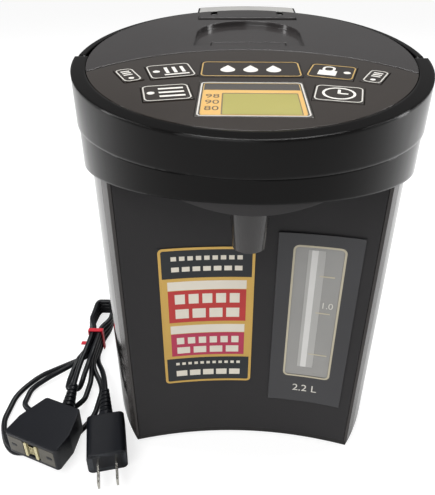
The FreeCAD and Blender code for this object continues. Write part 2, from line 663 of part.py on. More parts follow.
def tube(edges, radius):
    wire = Part.Wire(edges)
    first = edges[0]
    ring = Part.Wire(Part.makeCircle(radius, first.valueAt(first.FirstParameter),
                                     first.tangentAt(first.FirstParameter)))
    return wire.makePipeShell([ring], True, False)


def least_gap(edges, radius):
    """The least gap between stretches of the tube that lie more than four diameters apart along it."""
    points = []
    walked = 0.0
    for edge in edges:
        count = max(2, int(edge.Length / 1.5))
        for point in edge.discretize(count + 1)[:-1]:
            points.append((walked, point))
            walked += edge.Length / count
    least = 1e9
    for index, (here, point) in enumerate(points):
        for there, other in points[index + 1:]:
            if there - here > 8 * radius:
                least = min(least, point.distanceToPoint(other))
    return least - 2 * radius


def make_cord():
    stops = cord_route()
    edges = []
    for (start, way), (end, last) in zip(stops, stops[1:]):
        edges += biarc(start, way, end, last)
    length = sum(edge.Length for edge in edges)
    shape = tube(edges, CORD_RADIUS)
    radii = sorted(edge.Curve.Radius for edge in edges if hasattr(edge.Curve, "Radius"))
    print("cord length", round(length, 1), "volume share", round(shape.Volume / (math.pi * CORD_RADIUS ** 2 * length), 4))
    print("cord least radii", [round(radius, 1) for radius in radii[:8]])
    print("cord least self-gap", round(least_gap(edges, CORD_RADIUS), 2))
    item = doc.addObject("Part::Feature", "CordHank")
    item.Shape = shape
    node("cord_hank", item)


def relief(name, outlet, way):
    """A ribbed strain relief that ends at the outlet and widens towards its plug."""
    ribs = 6
    pitch = RELIEF_LENGTH / ribs
    points = [(0, 0)]
    for rib in range(ribs):
        radius = CORD_RADIUS + 1.2 + 0.35 * rib
        low = rib * pitch
        points += [(radius, low), (radius, low + 0.6 * pitch), (radius - 0.9, low + 0.6 * pitch)]
        points += [(radius - 0.9, low + pitch)]
    points += [(0, RELIEF_LENGTH), (0, 0)]
    face = Part.Face(Part.makePolygon([FreeCAD.Vector(x, 0, z) for x, z in points]))
    item = doc.addObject("Part::Feature", "Relief")
    item.Shape = face.revolve(FreeCAD.Vector(), FreeCAD.Vector(0, 0, 1), 360)
    item.Placement = FreeCAD.Placement(outlet, FreeCAD.Rotation(FreeCAD.Vector(0, 0, 1), way))
    node(name, item)


def turned(item, origin, low, turn):
    item.Placement = FreeCAD.Placement(FreeCAD.Vector(origin[0], origin[1], low),
                                       FreeCAD.Rotation(FreeCAD.Vector(0, 0, 1), turn)) * item.Placement
    return item


def plug_box(wide, front, back, low, tall):
    """A box centred on X, from front to back of its mating face."""
    item = doc.addObject("Part::Box", "PlugBox")
    item.Length = wide
    item.Width = back - front
    item.Height = tall
    item.Placement.Base = FreeCAD.Vector(-wide / 2, front, low)
    return item


def make_plugs():
    wide, long, tall = PLUG_SIZE
    outline = [(-wide / 2, 0), (wide / 2, 0), (wide / 2, 16), (wide / 2 - 7, long), (-wide / 2 + 7, long), (-wide / 2, 16)]
    points = [FreeCAD.Vector(x, y, 0) for x, y in outline]
    item = doc.addObject("Part::Feature", "MagnetPlug")
    body = Part.Face(Part.makePolygon(points + points[:1])).extrude(FreeCAD.Vector(0, 0, tall))
    rounded = [edge for edge in body.Edges if abs(edge.tangentAt(edge.FirstParameter).z) > 0.9]
    body = body.makeFillet(2.5, rounded)
    item.Shape = body.cut(Part.makeBox(wide - 8, 2, tall - 7, FreeCAD.Vector(4 - wide / 2, -0.5, 3.5)))
    turned(item, PLUG_FACE, PLUG_LOW, PLUG_TURN)
    node("magnet_plug", item)
    contacts = []
    for x in (-5, 5):
        contacts.append(turned(plug_box(4.5, 0.2, 1.5, tall / 2 - 4, 8), PLUG_FACE, PLUG_LOW, PLUG_TURN))
    node("plug_contacts", group(*contacts))

    wide, long, tall = MAINS_SIZE
    shell = Part.makeBox(wide, long, tall, FreeCAD.Vector(-wide / 2, 0, 0))
    shell = shell.makeFillet(4, [edge for edge in shell.Edges if abs(edge.tangentAt(edge.FirstParameter).y) > 0.9])
    neck = Part.makeCylinder(6, NECK_LENGTH + 1, FreeCAD.Vector(0, long - 1, tall / 2), FreeCAD.Vector(0, 1, 0))
    item = doc.addObject("Part::Feature", "MainsPlug")
    item.Shape = shell.fuse(neck)
    turned(item, MAINS_FRONT, 0, MAINS_TURN)
    node("mains_plug", item)
    blades = []
    for x in (-6.35, 6.35):
        blades.append(turned(plug_box(1.5, -18, 0, tall / 2 - 3.2, 6.4), MAINS_FRONT, 0, MAINS_TURN))
        blades[-1].Placement.Base += aim(MAINS_TURN).cross(FreeCAD.Vector(0, 0, -1)) * x
    node("plug_blades", group(*blades))
    relief("magnet_strain_relief", magnet_outlet(), aim(RELIEF_TURN))
    relief("mains_strain_relief", mains_outlet(), aim(MAINS_TURN))

    reach = COLUMN + CORD_RADIUS + 0.4
    top = CORD_RADIUS + 0.1 + (TURNS - 1) * LAYER + CORD_RADIUS + 0.3
    wall = 0.9
    band = Part.makeBox(2 * (reach + wall), 4, top + wall, FreeCAD.Vector(-reach - wall, -2, 0))
    hole = Part.makeBox(2 * reach, 6, top, FreeCAD.Vector(-reach, -3, -0.1))
    tails = Part.makeBox(9, 4, wall, FreeCAD.Vector(-reach - wall - 8.5, -2, 5))
    item = doc.addObject("Part::Feature", "CordTie")
    item.Shape = band.cut(hole).fuse(tails)
    item.Placement.Base = FreeCAD.Vector(TIE[0], TIE[1], 0)
    node("cord_tie", item)


make_body()
make_head()
make_lid()
make_vessel()
make_front()
make_controls()
make_inside()
make_cord()
make_plugs()
doc.recompute()

for item in doc.Objects:
    assert not {"Invalid", "Error"} & set(item.State), (item.Name, item.Label, item.State)
for name, item in nodes.items():
    shape = item.Shape
    assert not shape.isNull() and shape.isValid() and shape.Solids, name
assert len(nodes) <= 60, len(nodes)
for name, item in nodes.items():
    item.Shape.exportStep(f"parts/{name}.step")
print(len(nodes), "nodes")
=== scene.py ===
import math

import bpy
from mathutils import Matrix, Vector
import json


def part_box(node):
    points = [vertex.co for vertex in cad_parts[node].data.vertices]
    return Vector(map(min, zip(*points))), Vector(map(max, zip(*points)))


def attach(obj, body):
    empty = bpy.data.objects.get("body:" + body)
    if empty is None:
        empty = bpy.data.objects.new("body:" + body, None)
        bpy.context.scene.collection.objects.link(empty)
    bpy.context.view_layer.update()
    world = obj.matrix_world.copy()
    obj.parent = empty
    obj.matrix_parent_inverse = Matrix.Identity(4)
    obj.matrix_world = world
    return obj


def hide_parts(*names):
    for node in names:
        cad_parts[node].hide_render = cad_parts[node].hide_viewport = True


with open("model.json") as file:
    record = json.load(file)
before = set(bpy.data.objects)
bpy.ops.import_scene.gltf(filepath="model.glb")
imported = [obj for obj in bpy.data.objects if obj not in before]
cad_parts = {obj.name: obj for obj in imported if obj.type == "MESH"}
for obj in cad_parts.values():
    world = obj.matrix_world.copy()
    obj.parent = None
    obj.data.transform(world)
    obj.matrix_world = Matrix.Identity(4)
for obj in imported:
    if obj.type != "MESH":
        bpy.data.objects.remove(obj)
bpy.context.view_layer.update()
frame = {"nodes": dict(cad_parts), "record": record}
mm = 0.001
scene = bpy.context.scene
scene.view_settings.view_transform = "Standard"
slotOf = {part["node"]: part["material_slot"] for part in frame["record"]["subparts"]}

# The sloping top face starts at the head's front edge. Distances on it run up the slope.
top = {"rimHeight": 254, "slope": math.radians(6.5)}
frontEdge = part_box("head_band")[0][1]
topEdge = Matrix.Translation((0, frontEdge, top["rimHeight"] * mm))
topFrame = topEdge @ Matrix.Rotation(top["slope"], 4, "X")

# The camera is set so that the view matches the photograph, in pixels, degrees and mm.
camera = {"focal": 504.88, "imageHeight": 495, "sensor": 36, "yaw": -1.81, "pitch": 30.11,
          "place": (-9.4, -341.6, 321.3)}


def aimCamera():
    yaw, pitch = math.radians(camera["yaw"]), math.radians(camera["pitch"])
    level = math.cos(pitch)
    forward = Vector((math.sin(yaw) * level, math.cos(yaw) * level, -math.sin(pitch)))
    right = Vector((math.cos(yaw), -math.sin(yaw), 0))
    up = right.cross(forward)
    data = bpy.data.cameras.new("camera")
    data.lens = camera["focal"] / camera["imageHeight"] * camera["sensor"]
    data.clip_start = 0.01
    obj = bpy.data.objects.new("camera", data)
    scene.collection.objects.link(obj)
    rotation = Matrix((right, up, -forward)).transposed().to_4x4()
    obj.matrix_world = Matrix.Translation(Vector(camera["place"]) * mm) @ rotation
    scene.camera = obj


def addMesh(name, verts, faces):
    mesh = bpy.data.meshes.new(name)
    mesh.from_pydata([tuple(v) for v in verts], [], faces)
    mesh.validate()
    obj = bpy.data.objects.new(name, mesh)
    scene.collection.objects.link(obj)
    return obj


def dress(obj, material, body):
    obj.data.materials.clear()
    obj.data.materials.append(material)
    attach(obj, body)
    return obj


# Outlines are lists of points in mm. A bend maps a point near a flat plane onto a curved one.
def roundedLoop(width, length, corner, steps=5, along=1):
    points = []
    for sx, sy, start in ((1, 1, 0), (-1, 1, 90), (-1, -1, 180), (1, -1, 270)):
        for step in range(steps + 1):
            angle = math.radians(start + 90 * step / steps)
            points.append((sx * (width / 2 - corner) + corner * math.cos(angle),
                           sy * (length / 2 - corner) + corner * math.sin(angle)))
    loop = []
    for number, (ax, ay) in enumerate(points):
        bx, by = points[(number + 1) % len(points)]
        count = along if number % (steps + 1) == steps else 1
        loop += [(ax + (bx - ax) * i / count, ay + (by - ay) * i / count) for i in range(count)]
    return loop


def roundDot(radius, steps=16):
    angles = [math.tau * i / steps for i in range(steps)]
    return [(radius * math.cos(angle), radius * math.sin(angle)) for angle in angles]


# A drop is a pointed tip above most of a circle, with angles in degrees.
def drop(radius, steps=14, tip=1.9, start=30, turn=240):
    points = [(0, tip * radius)]
    for i in range(steps + 1):
        angle = math.radians(start - turn * i / steps)
        points.append((radius * math.cos(angle), radius * math.sin(angle)))
    return points[::-1]


def shifted(outline, x, y):
    return [(a + x, b + y) for a, b in outline]


def bar(width, length, x=0, y=0):
    corners = ((-1, -1), (1, -1), (1, 1), (-1, 1))
    return [(x + sx * width / 2, y + sy * length / 2) for sx, sy in corners]


printHeight = 0.05
letterHeight = 0.03


# A bent outline has more points along its straight sides, so that it can follow the panel.
def printedFrame(name, width, length, corner, line, place, bend=None):
    along = 14 if bend else 1
    outer = roundedLoop(width, length, corner, along=along)
    inner = roundedLoop(width - 2 * line, length - 2 * line, max(corner - line, 0.2), along=along)
    count = len(outer)
    verts = [place @ Vector((x * mm, y * mm, h * mm)) for h in (0.0, printHeight)
             for x, y in outer + inner]
    faces = []
    for i in range(count):
        j = (i + 1) % count
        faces.append((2 * count + i, 2 * count + j, 3 * count + j, 3 * count + i))
        faces.append((i, count + i, count + j, j))
        faces.append((i, j, 2 * count + j, 2 * count + i))
        faces.append((count + j, count + i, 3 * count + i, 3 * count + j))
    if bend:
        verts = [bend(v) for v in verts]
    return addMesh(name, verts, faces)


def printedPatch(name, outline, place, height=printHeight):
    count = len(outline)
    verts = [place @ Vector((x * mm, y * mm, h * mm)) for h in (0.0, height) for x, y in outline]
    faces = [tuple(range(count))[::-1], tuple(range(count, 2 * count))]
    faces += [(i, (i + 1) % count, count + (i + 1) % count, count + i) for i in range(count)]
    return addMesh(name, verts, faces)


def printedText(name, words, size, place):
    curve = bpy.data.curves.new(name, "FONT")
    curve.body = words
    curve.size = size * mm
    curve.extrude = letterHeight * mm
    curve.align_x = "CENTER"
    curve.align_y = "CENTER"
    temporary = bpy.data.objects.new(name, curve)
    mesh = bpy.data.meshes.new_from_object(temporary)
    bpy.data.objects.remove(temporary)
    mesh.transform(place)
    obj = bpy.data.objects.new(name, mesh)
    scene.collection.objects.link(obj)
    return obj


# One group gives every material rounded edges with a fine grain, and a soft mask for its tone and wear.
grainBase = {"fineDetail": 3, "broadScale": 14, "broadDetail": 5, "bumpDistance": 0.0005, "bevelSamples": 6}


def grainGroup():
    group = bpy.data.node_groups.new("fineGrain", "ShaderNodeTree")
    for name, value in (("Scale", 400.0), ("Depth", 0.05), ("Edge", 0.0008)):
        socket = group.interface.new_socket(name=name, in_out="INPUT", socket_type="NodeSocketFloat")
        socket.default_value = value
    group.interface.new_socket(name="Normal", in_out="OUTPUT", socket_type="NodeSocketVector")
    group.interface.new_socket(name="Mask", in_out="OUTPUT", socket_type="NodeSocketFloat")
    nodes, links = group.nodes, group.links
    start = nodes.new("NodeGroupInput")
    end = nodes.new("NodeGroupOutput")
    where = nodes.new("ShaderNodeTexCoord")
    fine = nodes.new("ShaderNodeTexNoise")
    fine.inputs["Detail"].default_value = grainBase["fineDetail"]
    broad = nodes.new("ShaderNodeTexNoise")
    broad.inputs["Scale"].default_value = grainBase["broadScale"]
    broad.inputs["Detail"].default_value = grainBase["broadDetail"]
    bump = nodes.new("ShaderNodeBump")
    bump.inputs["Distance"].default_value = grainBase["bumpDistance"]
    bevel = nodes.new("ShaderNodeBevel")
    bevel.samples = grainBase["bevelSamples"]
    links.new(where.outputs["Object"], fine.inputs["Vector"])
    links.new(where.outputs["Object"], broad.inputs["Vector"])
    links.new(start.outputs["Scale"], fine.inputs["Scale"])
    links.new(start.outputs["Depth"], bump.inputs["Strength"])
    links.new(start.outputs["Edge"], bevel.inputs["Radius"])
    links.new(fine.outputs["Fac"], bump.inputs["Height"])
    links.new(bevel.outputs["Normal"], bump.inputs["Normal"])
    links.new(bump.outputs["Normal"], end.inputs["Normal"])
    links.new(broad.outputs["Fac"], end.inputs["Mask"])
    return group


grain = grainGroup()


def linear(text):
    values = [int(text[i:i + 2], 16) / 255 for i in (0, 2, 4)]
    return [v / 12.92 if v <= 0.04045 else ((v + 0.055) / 1.055) ** 2.4 for v in values]


coatRough = 0.04
wearSpread = 0.15


# A finish has a colour, a roughness and what differs from plain plastic. The edge is its rounding in mm.
def finish(name, shade, rough=0.4, metal=0.0, coat=0.0, scale=400, depth=0.05, edge=0.8, glow=0.0,
           spread=0.15, clear=0.0, specular=0.5):
    color = linear(shade)
    material = bpy.data.materials.new(name)
    material.use_nodes = True
    nodes, links = material.node_tree.nodes, material.node_tree.links
    shader = nodes["Principled BSDF"]
    detail = nodes.new("ShaderNodeGroup")
    detail.node_tree = grain
    detail.inputs["Scale"].default_value = scale
    detail.inputs["Depth"].default_value = depth
    detail.inputs["Edge"].default_value = edge * mm
    links.new(detail.outputs["Normal"], shader.inputs["Normal"])
    tone = nodes.new("ShaderNodeMix")
    tone.data_type = "RGBA"
    tone.inputs[6].default_value = (*[c * (1 - spread) for c in color], 1)
    tone.inputs[7].default_value = (*[min(1, c * (1 + spread)) for c in color], 1)
    links.new(detail.outputs["Mask"], tone.inputs[0])
    links.new(tone.outputs[2], shader.inputs["Base Color"])
    wear = nodes.new("ShaderNodeMapRange")
    wear.inputs["To Min"].default_value = rough * (1 - wearSpread)
    wear.inputs["To Max"].default_value = rough * (1 + wearSpread)
    links.new(detail.outputs["Mask"], wear.inputs["Value"])
    links.new(wear.outputs["Result"], shader.inputs["Roughness"])
    shader.inputs["Metallic"].default_value = metal
    shader.inputs["Coat Weight"].default_value = coat
    shader.inputs["Coat Roughness"].default_value = coatRough
    shader.inputs["Transmission Weight"].default_value = clear
    shader.inputs["Specular IOR Level"].default_value = specular
    if glow:
        shader.inputs["Emission Color"].default_value = (*color, 1)
        shader.inputs["Emission Strength"].default_value = glow
    return material


looks = {
    "black_gloss": finish("pianoBlack", "050404", 0.06, coat=0.08, scale=900, depth=0.008, edge=1.6,
                          specular=0.14),
    "panel_gloss": finish("panelBrown", "2f2823", 0.16, coat=0.7, scale=900, depth=0.02, edge=0.5),
    "matte_dark": finish("mattePanel", "2b2a2b", 0.5, scale=1800, depth=0.2, edge=0.8, specular=0.22),
    "strip_dark": finish("stripGrey", "363332", 0.24, scale=1200, depth=0.1, edge=1.2, specular=0.4),
    "jacket_steel": finish("jacketBrown", "191310", 0.1, metal=0.2, coat=0.3, scale=2500, depth=0.02,
                           edge=0.15, specular=0.3),
    "underside": finish("undersideBlack", "232222", 0.6, scale=900, depth=0.2, specular=0.3),
    "foot_rubber": finish("footRubber", "1b1b1b", 0.8, scale=1200, depth=0.3, specular=0.3),
    "steel": finish("satinSteel", "b9b9b6", 0.28, metal=1.0, scale=1500, depth=0.1),
    "lid_dark": finish("lidGrey", "343131", 0.2, coat=0.5, scale=1200, depth=0.03, edge=1.4),
    "inner_plastic": finish("innerBlack", "2c2c2c", 0.5, scale=900, depth=0.15),
    "seal_silicone": finish("sealSilicone", "b5b2a8", 0.6, scale=700, depth=0.1),
    "lcd_glass": finish("displayDark", "5a5753", 0.12, coat=1.0, scale=900, depth=0.01, edge=0.4),
    "gauge_grey": finish("gaugeGrey", "38383a", 0.3, coat=0.2, scale=1500, depth=0.08, edge=0.9,
                        specular=0.3),
    "clear_window": finish("windowGrey", "8e8d8a", 0.16, coat=0.6, scale=900, depth=0.02, edge=0.5),
    "label_print": finish("labelDark", "171c20", 0.3, coat=0.3, scale=1200, depth=0.04, edge=0.1,
                          specular=0.3),
    "tube_clear": finish("tubeClear", "d8dde0", 0.1, clear=0.8, scale=500, depth=0.02),
    "board_green": finish("boardGreen", "1f5a35", 0.45, scale=1200, depth=0.2),
    "motor_metal": finish("motorSteel", "8b8b8b", 0.35, metal=1.0, scale=1500, depth=0.1),
    "cord_black": finish("cordBlack", "101216", 0.34, scale=2200, depth=0.12, edge=0.4, specular=0.3),
    "plug_black": finish("plugBlack", "12141a", 0.34, scale=1600, depth=0.14, edge=1.2, specular=0.35),
    "tie_red": finish("tieRed", "c0182c", 0.4, scale=1500, depth=0.2, edge=0.3),
    "contact_brass": finish("contactCream", "cfc59a", 0.35, scale=900, depth=0.1, edge=0.2),
    "blade_nickel": finish("bladeNickel", "c9c7bf", 0.22, metal=1.0, scale=1800, depth=0.06, edge=0.3),
}
# Three pieces have a finish of their own, not their slot's.
ownLooks = {
    "spout_nozzle": finish("nozzleBlack", "2e2c2c", 0.22, coat=0.3, scale=1500, depth=0.06, edge=1.0),
    "spout_housing": finish("funnelBlack", "232122", 0.3, scale=1500, depth=0.06, specular=0.4),
    "head_band": finish("bandBlack", "060505", 0.05, coat=0.12, scale=900, depth=0.006, edge=2.2,
                        specular=0.15),
}
inks = {
    "white": finish("printWhite", "cfccc4", 0.5, scale=2500, depth=0.05, edge=0.02),
    "bright": finish("keyWhite", "e9e6df", 0.45, scale=2500, depth=0.04, edge=0.02),
    "gold": finish("printGold", "c7a45a", 0.35, metal=0.3, scale=2500, depth=0.05, edge=0.02),
}


def dressFrame(sharpest=25):
    for name, obj in frame["nodes"].items():
        obj.data.materials.clear()
        obj.data.materials.append(ownLooks.get(name, looks[slotOf[name]]))
        for face in obj.data.polygons:
            face.use_smooth = True
        obj.data.set_sharp_from_angle(angle=math.radians(sharpest))


def onTop(x, y, lift, turn=0):
    spot = Matrix.Translation((x * mm, y * mm, lift * mm))
    return topFrame @ spot @ Matrix.Rotation(math.radians(turn), 4, "Z")


# A key's place is x, distance up the slope, width, length and turn, in mm and degrees.
# A ring is width, length, corner, line, x and y on the key. A dot is its radius, x and y.
boilSigns = [bar(1.9, 10, x, 1) for x in (-2, 2.6, 7.2)] + [bar(14, 1.7, 2.6, -6.6)]
sideSigns = [bar(5, 1.4, 0, y) for y in (0, 3, 6)]
keys = {
    "boil_key": {"place": (-45.4, 91, 26, 24, 17), "ink": "white", "signs": boilSigns, "dot": (2.0, -8, 0)},
    "unlock_key": {"place": (45.4, 91, 26, 24, -17), "ink": "gold", "signs": [bar(10, 8, -2.2, -3)],
                   "ring": (7.2, 9, 3.5, 1.4, -2.2, 4), "dot": (2.0, 8.4, 0)},
    "keep_warm_key": {"place": (-43.7, 56, 25, 23, 12), "ink": "white",
                      "signs": [bar(13, 2.0, 2.6, y) for y in (-5.4, 0, 5.4)], "dot": (2.0, -8, 0)},
    "timer_key": {"place": (43.7, 56, 25, 23, -12), "ink": "white",
                  "signs": [bar(1.5, 6, 0, 2.6), bar(5, 1.5, 2.1, 0)], "ring": (17, 17, 8.4, 1.3, 0, 0)},
    "clean_key": {"place": (-68, 83, 11, 22, 27), "ink": "white", "signs": sideSigns, "dot": (1.5, 0, -6)},
    "mode_key": {"place": (68, 83, 11, 22, -27), "ink": "white", "signs": sideSigns, "dot": (1.5, 0, -6)},
    "pour_key": {"place": (0, 95, 57, 27, 0), "ink": "gold",
                 "signs": [shifted(drop(4.2), x, -1.8) for x in (-13, 0, 13)]},
}
keyPrint = {"proud": 0.42, "margin": 1.2, "corner": 3.2, "line": 0.7}


def buildKeys():
    for name, key in keys.items():
        x, y, width, length, turn = key["place"]
        place = onTop(x, y, keyPrint["proud"], turn)
        size = (width - keyPrint["margin"], length - keyPrint["margin"], keyPrint["corner"], keyPrint["line"])
        dress(printedFrame(f"{name}_outline", *size, place), inks[key["ink"]], name)
        for number, sign in enumerate(key["signs"]):
            dress(printedPatch(f"{name}_mark_{number}", sign, place), inks["bright"], name)
        if "ring" in key:
            *size, across, up = key["ring"]
            middle = place @ Matrix.Translation((across * mm, up * mm, 0))
            dress(printedFrame(f"{name}_ring", *size, middle), inks["bright"], name)
        if "dot" in key:
            radius, across, up = key["dot"]
            dot = printedPatch(f"{name}_dot", shifted(roundDot(radius), across, up), place)
            dress(dot, inks["bright"], name)


# A patch of the display is width, length, corner, x, distance from its middle, and lift.
# The numbers start at x and a distance from the middle, and go down by the step.
display = {
    "start": 25.5,
    "long": 48,
    "lineLift": 0.02,
    "numberLift": 0.08,
    "outline": (53.5, 46.5, 2.5, 0.8),
    "innerLine": (50.6, 43.6, 1.8, 0.4),
    "gold": (50, 33.6, 1.0, 0, -5.4, 0.02),
    "shade": (38.6, 28.6, 0.8, 3.9, -7.3, 0.05),
    "liquid": (37.3, 27.2, 0.6, 4.0, -7.8, 0.1),
    "numbers": ("98", "90", "80"),
    "numberPlace": (-20, 2.4, -8.2),
    "numberSize": 7.4,
}


def buildDisplay():
    middle = display["start"] + display["long"] / 2
    base = onTop(0, middle, display["lineLift"])
    dress(printedFrame("display_outline", *display["outline"], base), inks["white"], "pot")
    inner = printedFrame("display_inner_line", *display["innerLine"], base)
    dress(inner, inks["gold"], "pot")
    # The gold and liquid tones carry a faint painted glow; the display gives no light of its own.
    tones = {
        "gold": finish("displayGoldPaintedGlow", "d3a552", 0.4, glow=0.08, spread=0.12, scale=300, depth=0.03,
                       edge=0.05),
        "shade": finish("displayShade", "6f6034", 0.4, scale=900, depth=0.03, edge=0.05),
        "liquid": finish("displayLiquidPaintedGlow", "aaa24c", 0.3, coat=0.6, glow=0.06, spread=0.22, scale=90,
                         depth=0.04, edge=0.05),
    }
    for name, tone in tones.items():
        width, length, corner, x, y, lift = display[name]
        place = onTop(x, middle + y, lift)
        patch = printedPatch(f"display_{name}", roundedLoop(width, length, corner), place)
        dress(patch, tone, "pot")
    ink = finish("displayInk", "4a3b22", 0.5, scale=900, depth=0.03, edge=0.02)
    x, start, step = display["numberPlace"]
    for number, words in enumerate(display["numbers"]):
        place = onTop(x, middle + start + step * number, display["numberLift"])
        text = printedText(f"display_number_{number}", words, display["numberSize"], place)
        dress(text, ink, "pot")


# The front panel is a hollow arc, with half its width, its hollow and where its middle stands.
panel = {"half": 76.2 * mm, "hollow": 10.6 * mm, "middle": -75 * mm}
panelRadius = (panel["half"] ** 2 + panel["hollow"] ** 2) / (2 * panel["hollow"])


# The bend takes a flat upright print onto the panel, proud of it by some mm.
def ontoPanel(proud):
    def bend(point):
        depth = panelRadius - proud * mm + point.y
        back = panel["middle"] - panelRadius
        return Vector((point.x, back + math.sqrt(depth ** 2 - point.x ** 2), point.z))
    return bend


def upright(x, z):
    return Matrix.Translation((x * mm, 0, z * mm)) @ Matrix.Rotation(math.radians(90), 4, "X")


strip = {"width": 3, "height": 0.04}


# A band is a row of upright strips, so that it follows the panel.
def band(name, x, z, width, height, material, proud):
    steps = max(1, int(width / strip["width"]))
    bend = ontoPanel(proud)
    verts, faces = [], []
    for i in range(steps + 1):
        across = x - width / 2 + width * i / steps
        for up in (z - height / 2, z + height / 2):
            for lift in (0.0, strip["height"]):
                verts.append(bend(Vector((across * mm, -lift * mm, up * mm))))
    for i in range(steps):
        a, b = 4 * i, 4 * i + 4
        faces += [(a + 1, b + 1, b + 3, a + 3), (a, a + 2, b + 2, b)]
        faces += [(a, b, b + 1, a + 1), (a + 2, a + 3, b + 3, b + 2)]
    last = 4 * steps
    faces += [(0, 1, 3, 2), (last, last + 2, last + 3, last + 1)]
    return dress(addMesh(name, verts, faces), material, "pot")


# The label carries plain bands and blocks, with heights as shares of it from its top.
# A band is its two heights, its width and its paint. The gold field is its middle, height, width and lift.
label = {
    "x": -24.3, "low": 57, "width": 60, "tall": 111, "proud": 0.56, "inset": 0.4, "corner": 3.0, "line": 1.7,
    "field": (0.4975, 0.58, 57.2, -0.06),
    "bands": [
        ("gold_top", 0.20, 0.213, 58, "gold"), ("white_top", 0.222, 0.282, 50, "paper"),
        ("red_block", 0.285, 0.513, 50, "red"), ("gold_middle", 0.517, 0.53, 58, "gold"),
        ("white_low", 0.538, 0.598, 49, "paper"), ("crimson_block", 0.601, 0.775, 49, "crimson"),
        ("gold_low", 0.783, 0.795, 58, "gold"),
    ],
    # Rows have a width, a gap between pieces and a lift. Each row is its place, its count and its height.
    "rows": {
        "tick": (46, 1.8, 0, ((0.07, 9, 3.0), (0.14, 7, 3.4), (0.84, 11, 2.2), (0.92, 5, 5.0))),
        "block": (44, 2.4, 0.06, ((0.345, 5, 7.5), (0.45, 4, 7.5), (0.655, 6, 5.5), (0.73, 4, 5.5))),
    },
}


def buildLabel():
    x, tall, proud = label["x"], label["tall"], label["proud"]
    upper = label["low"] + tall
    paints = {
        "gold": finish("labelGold", "cba557", 0.3, metal=0.4, scale=1500, depth=0.05, edge=0.02),
        "red": finish("labelRed", "b22d2b", 0.4, scale=1500, depth=0.03, edge=0.02),
        "crimson": finish("labelCrimson", "ad2c4c", 0.4, scale=1500, depth=0.03, edge=0.02),
        "paper": finish("labelWhite", "d9d2c4", 0.5, scale=1500, depth=0.04, edge=0.02),
    }
    for name, start, end, wide, paint in label["bands"]:
        middle = upper - tall * (start + end) / 2
        band(f"label_{name}", x, middle, wide, tall * (end - start), paints[paint], proud)
    size = (label["width"] - label["inset"], tall - label["inset"], label["corner"], label["line"])
    outline = printedFrame("label_frame", *size, upright(x, upper - tall / 2), ontoPanel(proud))
    dress(outline, paints["gold"], "pot")
    share, height, wide, lift = label["field"]
    band("label_gold_field", x, upper - tall * share, wide, tall * height, paints["gold"], proud + lift)
    for kind, (rowWide, gap, lift, rows) in label["rows"].items():
        for row, (share, count, height) in enumerate(rows):
            for i in range(count):
                pitch = rowWide / count
                across = x + (i - (count - 1) / 2) * pitch
                band(f"label_{kind}_{row}_{i}", across, upper - tall * share, pitch - gap, height,
                     paints["paper"], proud + lift)


# The level gauge's window, with painted highlights and reflections of the tube and the marks in it, in mm.
# A tube band is x from the window's middle, width, what it is shorter by, paint and lift.
# A mark is z and width. Words are a name, the text, size, x from the middle, z and lift.
gauge = {
    "x": 43.8, "low": 67, "tall": 103, "wide": 29, "margin": 2.4, "corner": 3.6, "line": 1.3, "proud": 1.4,
    "tubeLift": 3,
    "tube": {
        "painted_reflection": (-1.5, 10, 10, "painted_reflection", 1.04),
        "light": (-2.6, 3.8, 10, "bright", 1.1),
        "edge": (3.4, 0.7, 14, "painted_reflection", 1.08),
    },
    "marks": {"high": (150, 9), "litre": (122, 9), "low": (87, 12)},
    "mark": {"x": 6, "height": 0.9, "proud": 1.1},
    "words": (("litre", "1.0", 6.5, 8, 128, 1.2), ("volume", "2.2 L", 8.5, 0, 55, 1.5)),
}


def buildGauge():
    paints = {
        "cream": finish("gaugeCream", "b8b09a", 0.45, scale=1500, depth=0.05, edge=0.02),
        # The grey streak and the bright band are a painted reflection and a painted highlight of the tube.
        "painted_reflection": finish("gaugePaintedReflection", "a9a8a5", 0.35, scale=60, depth=0.1, edge=0.1),
        "bright": finish("gaugePaintedHighlight", "cfcecb", 0.3, spread=0.1, scale=60, depth=0.08, edge=0.1),
    }
    x, tall, margin, mark = gauge["x"], gauge["tall"], gauge["margin"], gauge["mark"]
    middle = gauge["low"] + tall / 2
    size = (gauge["wide"] + margin, tall + margin, gauge["corner"], gauge["line"])
    outline = printedFrame("gauge_frame", *size, upright(x, middle), ontoPanel(gauge["proud"]))
    dress(outline, paints["cream"], "pot")
    # The tube bands are painted highlights and reflections laid on the window.
    for name, (across, wide, shorter, paint, proud) in gauge["tube"].items():
        band(f"gauge_tube_{name}", x + across, middle + gauge["tubeLift"], wide, tall - shorter,
             paints[paint], proud)
    for name, (z, wide) in gauge["marks"].items():
        band(f"gauge_mark_{name}", x + mark["x"], z, wide, mark["height"], paints["cream"], mark["proud"])
    for name, words, size, across, z, proud in gauge["words"]:
        text = printedText(f"gauge_text_{name}", words, size, upright(x + across, z))
        bend = ontoPanel(proud)
        for vertex in text.data.vertices:
            vertex.co = bend(vertex.co)
        dress(text, inks["white"], "pot")


